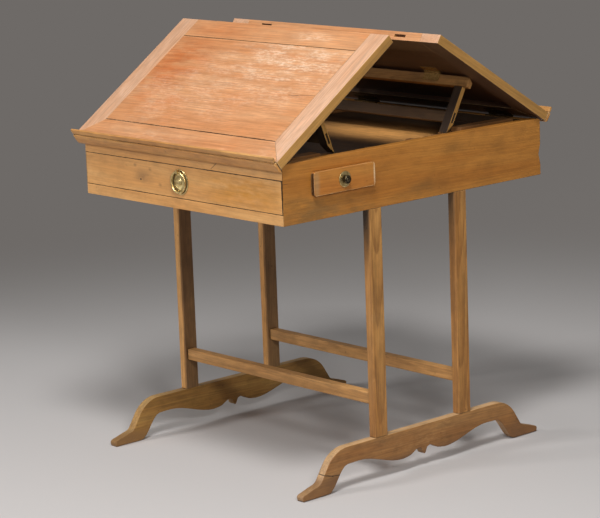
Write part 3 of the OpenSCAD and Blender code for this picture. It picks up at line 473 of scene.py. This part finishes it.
boards = {
    "side_left": dict(look="box", place="box", grain="y", pith=(-60, 20), along=300,
                      # The inner face darker: painted shade inside the box
                      change=dict(sides=(("+x", (60, 42, 28), 0.85),))),
    "side_right": dict(look="box", place="box", grain="y", pith=(70, -12), along=120,
                       # The inner face darker: painted shade inside the box
                       change=dict(sides=(("-x", (96, 66, 40), 0.85),), grime=(52, 34, 18)),
                       rims=[("z", 617, 1.6, 0.7), ("y", -403.5, 2.0, 0.85)],
                       gouges=[dict(at=(343, 403.5, 666), size=(30, 12, 20), push=(0, -6, 0)),
                               dict(at=(343, -403.5, 640), size=(14, 10, 16), push=(-1.5, 1.5, 0))],
                       patches=[dict(at=(343, -330, 650), size=(20, 150, 60), to=(146, 104, 52), much=0.8),
                                dict(at=(343, -250, 628), size=(20, 260, 30), to=(136, 104, 60), much=0.7),
                                dict(at=(343, 20, 640), size=(20, 120, 30), to=(132, 96, 50), much=0.6),
                                dict(at=(343, 260, 700), size=(20, 60, 30), to=(138, 92, 40), much=0.6),
                                dict(at=(343, 120, 720), size=(20, 90, 24), to=(138, 94, 42), much=0.6)],
                       cracks=[((343, -405, 708), (343, -386, 707), 0.7),
                               ((343, -386, 707), (343, -369, 710), 0.5)],
                       nails=[((343, -398, 649), 1.6), ((343, -397, 666), 1.4), ((343, 332, 710), 1.3),
                              ((343, -116, 622), 1.2), ((343, 333, 637), 1.2)]),
    "back_board": dict(look="box", place="box", grain="x", pith=(-55, 18), along=50,
                       # The inner face nearly black: painted shade inside the box
                       change=dict(sides=(("-y", (34, 25, 18), 0.95),))),
    "rail_top": dict(look="front", place="box", grain="x", pith=(60, 8), along=700,
                     cracks=[((109, -403.5, 719), (128, -403.5, 733), 0.7)], rims=[("z", 716, 0.8, 0.8)]),
    "rail_bottom": dict(look="front", place="box", grain="x", pith=(50, -14), along=210,
                        rims=[("z", 641, 0.7, 0.8)]),
    "well_boards": dict(look="inner", place="box", grain="x", pith=(30, -70),
                        # Dark tones: painted shade on the well floor
                        change=dict(pale=(84, 60, 38), deep=(66, 46, 30), late=(52, 36, 24), arris=(120, 84, 50)),
                        # A painted pool of light, where light falls in between the leaves
                        paintedLightAndShade=[dict(at=(70, 160, 725), size=(390, 165, 40), to=(250, 180, 100), much=1.0,
                                     face="+z")],
                        # The seam at y 89 drawn in the arris tone: a painted highlight on the board's edge
                        scratches=[((-83, 89, 725.5), (240, 89, 725.5), 0.9)],
                        rims=[("y", -118, 1.6, 0.7)]),
    "racks": dict(look="inner", place="box", grain="y", pith=(40, -50), change=dict(pale=(150, 108, 64))),
    "rack_teeth": dict(look="inner", place="box", grain="y", pith=(40, -50), change=dict(pale=(150, 108, 64))),
    "guide_board": dict(look="inner", place="box", grain="y", pith=(60, 0)),
    "runners": dict(look="inner", place="box", grain="y", pith=(60, 0)),
    "tray_floor": dict(look="inner", place="box", grain="y", pith=(10, 60)),
    "leg_front_left": dict(look="base", place="box", grain="z", pith=(8, 60), along=90, chamfer=3.2,
                           # Paler pine: painted light on the lit front face; the inner '+x' face darker: painted
                           # shade under the box
                           change=dict(pale=(240, 182, 112), deep=(216, 154, 84),
                                       sides=(("+x", (124, 92, 58), 0.85),))),
    "leg_front_right": dict(look="base", place="box", grain="z", pith=(6, 52), along=410, chamfer=3.2,
                            # A painted shadow of the box across the top of the front face
                            paintedLightAndShade=[dict(at=(330, -154, 610), size=(60, 30, 150), to=(40, 30, 18), much=0.95,
                                         face="-y")],
                            nails=[((334, -154, 575), 2.2)]),
    "leg_rear_left": dict(look="base", place="box", grain="z", pith=(-9, 58), along=620, chamfer=3.2,
                          # Paler pine: painted light on the lit front face; the inner '+x' face darker: painted
                          # shade under the box
                          change=dict(pale=(240, 182, 112), deep=(216, 154, 84),
                                      sides=(("+x", (150, 114, 74), 0.85),))),
    "leg_rear_right": dict(look="base", place="box", grain="z", pith=(-5, 66), along=830, chamfer=3.2,
                           # A painted shadow of the box across the top of the front face
                           paintedLightAndShade=[dict(at=(330, 113, 610), size=(60, 30, 190), to=(70, 52, 30), much=0.8,
                                        face="-y")]),
    "foot_left": dict(look="base", place="box", grain="y", pith=(60, 10), along=50, arris=2.6, uneven=0.7,
                      change=dict(pale=(186, 142, 74), deep=(162, 118, 56), lines=0.2, cloudy=0.22,
                                  # Faces that look up and forward paler: painted light
                                  sides=(("+z", (214, 172, 112), 0.7), ("-y", (200, 156, 98), 0.5))),
                      settled=[(34, (132, 96, 56))],
                      gouges=[dict(at=(-332, -386, 26), size=(60, 48, 20), push=(0, 0, -4)),
                              dict(at=(-332, 386, 26), size=(60, 48, 20), push=(0, 0, -4))]),
    "foot_right": dict(look="base", place="box", grain="y", pith=(-60, 16), along=350, arris=2.6, uneven=0.7,
                       change=dict(pale=(190, 138, 80), deep=(168, 114, 60), lines=0.22, cloudy=0.22,
                                   # Faces that look up and forward paler: painted light
                                   sides=(("+z", (236, 192, 140), 0.8), ("-y", (232, 190, 142), 0.7))),
                       # The wide short mark at y -17 to -11 is a painted shadow beside the pendant, not a crack
                       cracks=[((343, -310, 46), (343, -288, 40), 1.5), ((343, -288, 40), (343, -256, 37), 1.6),
                               ((343, -311, 46), (320, -311, 47), 1.3), ((343, -295, 30), (343, -268, 25), 0.8),
                               ((343, 304, 45), (343, 339, 42), 1.2), ((343, -17, 41), (343, -11, 34), 3.4)],
                       settled=[(50, (120, 84, 52))],
                       gouges=[dict(at=(332, -386, 26), size=(60, 48, 20), push=(0, 0, -4)),
                               dict(at=(332, 386, 26), size=(60, 48, 20), push=(0, 0, -4))]),
    "stretcher_front": dict(look="base", place="box", grain="x", pith=(50, 9), along=130, arris=2.2,
                            change=dict(pale=(232, 176, 108), deep=(208, 152, 86), lines=0.25)),
    "stretcher_rear": dict(look="base", place="box", grain="x", pith=(60, -8), along=530, arris=2.2,
                           change=dict(pale=(228, 174, 108), deep=(204, 150, 86), lines=0.25)),
    "drawer_front": dict(look="front", place="box", grain="x", pith=(70, 4), along=40,
                         rims=[("z", 714.8, 1.1, 0.85), ("z", 642.2, 0.8, 0.8), ("x", -340, 1.2, 0.5),
                               ("x", 340, 2.0, 0.9)],
                         knots=[dict(at=(-140, -403, 671), size=(13, 10, 9))],
                         patches=[dict(at=(-128, -403, 676), size=(50, 20, 28), to=(156, 114, 70), much=0.8),
                                  dict(at=(-105, -403, 696), size=(9, 20, 7), to=(120, 84, 50), much=0.6),
                                  dict(at=(-159, -403, 702), size=(9, 20, 6), to=(130, 92, 56), much=0.6),
                                  dict(at=(-71, -403, 665), size=(9, 20, 7), to=(130, 92, 56), much=0.5),
                                  dict(at=(220, -403, 680), size=(200, 20, 70), to=(202, 136, 46), much=1.0)],
                         nails=[((0, -403.5, 713), 1.6)]),
    "drawer_side_left": dict(look="inner", place="box", grain="y", pith=(60, 0)),
    "drawer_side_right": dict(look="inner", place="box", grain="y", pith=(60, 0)),
    "drawer_back": dict(look="inner", place="box", grain="x", pith=(60, 0)),
    "drawer_bottom": dict(look="inner", place="box", grain="x", pith=(20, 60)),
    "tray_front": dict(look="box", place="box", grain="y", pith=(60, 6), slot="front_pine",
                       change=dict(pale=(206, 140, 64), deep=(194, 122, 50), arris=(252, 222, 172),
                                   # The '-y' end nearly black: painted shadow
                                   sides=(("-y", (48, 32, 20), 0.9),)),
                       # At y -312 painted light on the rounded end, at y -141 a painted highlight on the arris
                       paintedLightAndShade=[dict(at=(345, -312, 697), size=(20, 14, 60), to=(184, 150, 104), much=0.75,
                                    face="+x"),
                               dict(at=(345, -141, 700), size=(20, 5, 50), to=(250, 226, 186), much=0.8,
                                    face="+x")]),
    "tray_sides": dict(look="inner", place="box", grain="x", pith=(60, 0)),
    "tray_back": dict(look="inner", place="box", grain="y", pith=(60, 0)),
    "tray_bottom": dict(look="inner", place="box", grain="y", pith=(10, 60)),
}
for side in ("front", "back"):
    leaf, prop = side + "_leaf", side + "_prop"
    boards.update({
        side + "_panel": dict(look="leaf", place=leaf, grain="x", pith=(-30, -75), along=200),
        side + "_stile_left": dict(look="stile", place=leaf, grain="y", pith=(10, -60), along=10),
        side + "_stile_right": dict(look="stile", place=leaf, grain="y", pith=(-8, -66), along=330,
                                    rims=[("y", -16.5, 1.6, 0.9)]),
        side + "_ridge_rail": dict(look="leaf", place=leaf, grain="x", pith=(12, -70), along=540),
        side + "_outer_rail": dict(look="leaf", place=leaf, grain="x", pith=(-14, -60), along=760),
        side + "_ledge": dict(look="ledge", place=leaf, grain="x", pith=(50, 10), along=90,
                              # The dark rim at z 24 is painted shade in the moulding's groove; the light line at y
                              # -19 is a painted highlight on the moulding
                              rims=[("z", 24, 1.5, 0.95)], scratches=[((-352, -19, 21), (352, -19, 21), 1.2)]),
        side + "_prop_rail": dict(look="prop", place=prop, grain="x", pith=(10, -50),
                                  # Paler than the other prop pieces: painted light on the rail
                                  change=dict(pale=(204, 150, 84), deep=(180, 128, 70), late=(140, 96, 50))),
        side + "_prop_arms": dict(look="prop", place=prop, grain="y", pith=(0, -50), arris=0.6,
                                  # Dark faces with pale '+x' and '-x' faces: painted shade on the faces toward the
                                  # inside, painted light where the light falls
                                  change=dict(pale=(64, 48, 34), deep=(52, 38, 28), arris=(90, 66, 42),
                                              sides=(("+x", (236, 176, 92), 0.9), ("-x", (236, 176, 92), 0.9)))),
        side + "_prop_low_rail": dict(look="prop", place=prop, grain="x", pith=(10, -50),
                                      change=dict(pale=(96, 72, 46), deep=(78, 56, 36))),
    })
boards["front_ledge"].update(
    cracks=[((351.5, -17, -7), (351.5, -17, 22), 1.6), ((352, -18, 23), (340, -20, 24), 1.8)],
    gouges=[dict(at=(-7, -38, 24), size=(12, 12, 10), push=(0, 1.6, -1.4)),
            dict(at=(122, -38, 24), size=(10, 12, 10), push=(0, 1.6, -1.4)),
            dict(at=(352, -20, 24), size=(12, 10, 12), push=(-3, 0, -3))])
boards["front_panel"].update(
    cracks=[((213, 182, 21.5), (243, 183.5, 21.5), 0.7), ((243, 183.5, 21.5), (291, 190, 21.5), 0.4)],
    rims=[("y", 43, 1.6, 0.9), ("y", 338, 1.2, 0.85)],
    # The pale 'dry' patches are partly a dry, worn finish and partly a painted reflection of the lamp
    patches=[dict(at=(200, 280, 21), size=(230, 170, 20), to="dry", much=0.7),
             dict(at=(60, 300, 21), size=(220, 110, 20), to="dry", much=0.5),
             dict(at=(-40, 180, 21), size=(300, 170, 20), to="dry", much=0.35),
             dict(at=(-230, 240, 21), size=(150, 150, 20), to=(200, 112, 54), much=1.0),
             dict(at=(-190, 120, 21), size=(200, 50, 20), to=(208, 126, 70), much=0.8),
             dict(at=(-209, 273, 21), size=(60, 24, 20), to=(200, 116, 58), much=0.6),
             dict(at=(-183, 188, 21), size=(70, 22, 20), to=(200, 116, 58), much=0.5),
             dict(at=(-266, 179, 21), size=(60, 26, 20), to=(200, 116, 58), much=0.5),
             dict(at=(-155, 122, 21), size=(60, 20, 20), to=(202, 120, 62), much=0.5),
             dict(at=(60, 140, 21), size=(120, 60, 20), to=(212, 134, 78), much=0.5)])
boards["front_ridge_rail"].update(
    rims=[("y", 338, 1.0, 0.5)],
    patches=[dict(at=(130, 368, 21), size=(90, 22, 20), to="dry", much=0.9),
             dict(at=(-200, 365, 21), size=(120, 40, 20), to=(206, 124, 68), much=0.6)])
boards["front_outer_rail"].update(
    rims=[("y", 41, 1.0, 0.6)],
    patches=[dict(at=(-80, 10, 21), size=(200, 40, 20), to="dry", much=0.3)])
leafBoards = [(name.split("_", 1)[1], board) for name, board in boards.items() if "_leaf" in board["place"]]
for part, board in leafBoards:
    if part == "ledge":
        continue
    # Undersides: darker pine and painted shade, with a painted shadow darkest near the box; the outer rail's face
    # toward the panel is darkened too
    look = pineLooks[board["look"]]
    under = [("-z", (96, 66, 44), 0.95)]
    if part != "ridge_rail":
        paintedShadowNearBox = dict(at=(0, 40, 0), size=(420, 260, 60), to=(30, 22, 17), much=0.95)
        board.setdefault("paintedLightAndShade", []).append(paintedShadowNearBox)
    if part == "outer_rail":
        under.append(("+y", (64, 46, 32), 0.9))
    board["change"] = dict(sides=tuple(side for side in look["sides"] if side[0] != "-z") + tuple(under))

for seed, (name, board) in enumerate(boards.items()):
    place = placeOf(board["place"])
    mesh = mergedCopy(name)
    if "chamfer" in board:
        easeArrises(mesh, board["chamfer"], longer=150, segments=1)
    easeArrises(mesh, board.get("arris", handMade["arris"]))
    mesh.transform(place.inverted())
    along = "xyz".index(board["grain"])
    for axis in range(3):
        slices(mesh, axis, handMade["along" if axis == along else "across"], handMade["rim"])
    handWork(mesh, board.get("uneven", handMade["uneven"]), handMade["patch"], seed)
    knockIn(mesh, board.get("gouges", []))
    mesh.transform(place)
    material = pineMaterial(name, board)
    finishPiece(name + ".dressed", mesh, material, bodyOf[name], [name])
print("boards dressed:", len(boards))

# Hinges, screws and pulls
metalPieces = {
    "hinges_fixed": "hingeBrass", "front_hinges": "hingeBrass", "back_hinges": "hingeBrass",
    "front_prop_hinges": "propBrass", "back_prop_hinges": "propBrass",
    "front_prop_plates": "propBrass", "back_prop_plates": "propBrass",
    "box_screws": "iron", "front_screws": "iron", "back_screws": "iron",
    "pull_plate": "brass", "pull_ring": "brass", "tray_rosette": "brass", "tray_knob": "bronze",
}
for name, kind in metalPieces.items():
    mesh = mergedCopy(name)
    easeArrises(mesh, handMade["metalArris"], 50)
    finishPiece(name + ".dressed", mesh, metalMaterial(kind), bodyOf[name], [name], 35)
print("metal dressed:", len(metalPieces))

# Floor: pale near the table; far off it turns to the grey of the studio's wall, as the camera sees it
stage = dict(radius=30.0, near=(206, 202, 200), wall=(110, 106, 103), wallRight=(118, 114, 111), drop=0.0004,
             rough=0.8, specular=0.2, wallFrom=1.1, wallFull=2.9, leftEnd=-3.0, rightEnd=1.5)


def makeStage():
    mesh = bmesh.new()
    bmesh.ops.create_circle(mesh, cap_ends=True, radius=stage["radius"], segments=96)
    bmesh.ops.translate(mesh, verts=mesh.verts, vec=(0, 0, -stage["drop"]))
    data = bpy.data.meshes.new("floor")
    mesh.to_mesh(data)
    mesh.free()
    floor = bpy.data.objects.new("floor", data)
    bpy.context.scene.collection.objects.link(floor)
    material = bpy.data.materials.new("floor")
    material.use_nodes = True
    tree = material.node_tree
    tree.nodes.clear()
    where = placed(tree, Matrix.Identity(4))
    reach = vectors(tree, "LENGTH", where)
    near = addNode(tree, "ShaderNodeBsdfPrincipled", {
        "Base Color": tone(*stage["near"]), "Roughness": stage["rough"], "Specular IOR Level": stage["specular"]})
    across = addNode(tree, "ShaderNodeSeparateXYZ", {0: where}).outputs[0]
    rightward = spread(tree, across, stage["leftEnd"], stage["rightEnd"])
    wall = mixed(tree, rightward, tone(*stage["wall"]), tone(*stage["wallRight"]))
    far = addNode(tree, "ShaderNodeEmission", {"Color": wall, "Strength": 1.0})
    rays = addNode(tree, "ShaderNodeLightPath").outputs
    seen = sums(tree, "MAXIMUM", rays["Is Camera Ray"], rays["Is Glossy Ray"])
    share = sums(tree, "MULTIPLY", seen, spread(tree, reach, stage["wallFrom"], stage["wallFull"]))
    both = addNode(tree, "ShaderNodeMixShader", {0: share, 1: near.outputs[0], 2: far.outputs[0]})
    addNode(tree, "ShaderNodeOutputMaterial", {"Surface": both.outputs[0]})
    data.materials.append(material)


makeStage()

# Soft lights: a large one high at the front right, a lower one beyond it, weak ones at the left and above
lamps = {
    "key": dict(at=(1.25, -1.35, 3.3), size=0.8, power=74),
    "right": dict(at=(3.3, -2.0, 2.25), size=0.7, power=52),
    "front": dict(at=(-1.3, -3.7, 2.3), size=0.9, power=62),
    "left": dict(at=(-2.2, -1.9, 0.9), size=1.4, power=4),
    "top": dict(at=(-0.2, 0.3, 3.6), size=2.4, power=5.5),
}
# The air around lights the shade a little, and shows brighter in what is glossy
air = dict(colour=(205, 203, 200), strength=0.09, glossy=0.3)


def makeLights():
    aim = Vector((0, 0, 0.6))
    for name, lamp in lamps.items():
        light = bpy.data.lights.new(name, "AREA")
        light.shape = "SQUARE"
        light.size = lamp["size"]
        light.energy = lamp["power"]
        holder = bpy.data.objects.new(name, light)
        holder.location = lamp["at"]
        holder.rotation_mode = "QUATERNION"
        holder.rotation_quaternion = (aim - Vector(lamp["at"])).to_track_quat("-Z", "Y")
        bpy.context.scene.collection.objects.link(holder)
    world = bpy.data.worlds.new("studio")
    world.use_nodes = True
    background = world.node_tree.nodes["Background"]
    background.inputs["Color"].default_value = tone(*air["colour"])
    tree = world.node_tree
    glossy = addNode(tree, "ShaderNodeLightPath").outputs["Is Glossy Ray"]
    strength = sums(tree, "MULTIPLY_ADD", glossy, air["glossy"], air["strength"])
    tree.links.new(strength, background.inputs["Strength"])
    bpy.context.scene.world = world


makeLights()

# Camera as the photograph was taken; image places are in its 600 x 518 frame
shot = dict(target=(-57.2, -64.7, 401.4), distance=5654.2, azimuth=48.7, elevation=12.0, roll=-2.2,
            focal=2402.6, centre=(281.2, 275.4), image=(600, 518), sensor=36.0)


def makeCamera():
    azimuth, elevation, roll = (math.radians(shot[key]) for key in ("azimuth", "elevation", "roll"))
    back = Vector((math.sin(azimuth) * math.cos(elevation), -math.cos(azimuth) * math.cos(elevation),
                   math.sin(elevation)))
    right = (-back).cross(Vector((0, 0, 1))).normalized()
    up = right.cross(-back)
    tiltedRight = right * math.cos(roll) + up * math.sin(roll)
    tiltedUp = up * math.cos(roll) - right * math.sin(roll)
    camera = bpy.data.cameras.new("camera")
    width, height = shot["image"]
    camera.sensor_width = shot["sensor"]
    camera.lens = shot["focal"] / width * shot["sensor"]
    camera.shift_x = (width / 2 - shot["centre"][0]) / width
    camera.shift_y = (shot["centre"][1] - height / 2) / width
    camera.clip_end = 200
    holder = bpy.data.objects.new("camera", camera)
    turn = Matrix((tiltedRight, tiltedUp, back)).transposed().to_4x4()
    eye = middle + (Vector(shot["target"]) + back * shot["distance"]) * mm
    holder.matrix_world = Matrix.Translation(eye) @ turn
    bpy.context.scene.collection.objects.link(holder)
    bpy.context.scene.camera = holder


makeCamera()
bpy.context.scene.view_settings.view_transform = "Standard"
